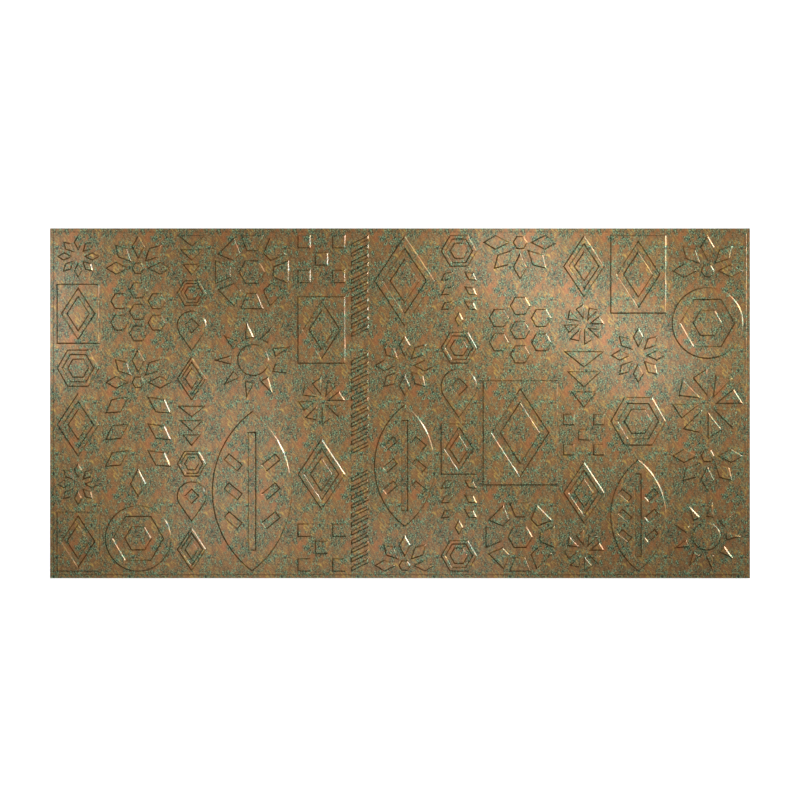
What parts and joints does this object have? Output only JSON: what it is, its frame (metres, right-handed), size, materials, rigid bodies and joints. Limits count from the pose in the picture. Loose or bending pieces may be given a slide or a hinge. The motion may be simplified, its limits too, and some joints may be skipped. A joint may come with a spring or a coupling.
{
  "type": "vinyl wall panel",
  "caption": "Thin rectangular vinyl wall panel, formed with raised figures over a flat lip, hollow behind the relief, with a copper and verdigris print.",
  "frame": {"origin": "centre of the sheet's outline, on the plane of the back of its lip", "axes": "+X along the sheet's length, +Y across its width, +Z out of its decorated face"},
  "size_m": [2.4384, 1.2192, 0.0062],
  "materials": {
    "printed_vinyl": "semi-gloss vinyl printed all over with a brown copper and green verdigris patina"
  },
  "bodies": {
    "root": {"wall_panel": "printed_vinyl"}
  },
  "joints": []
}
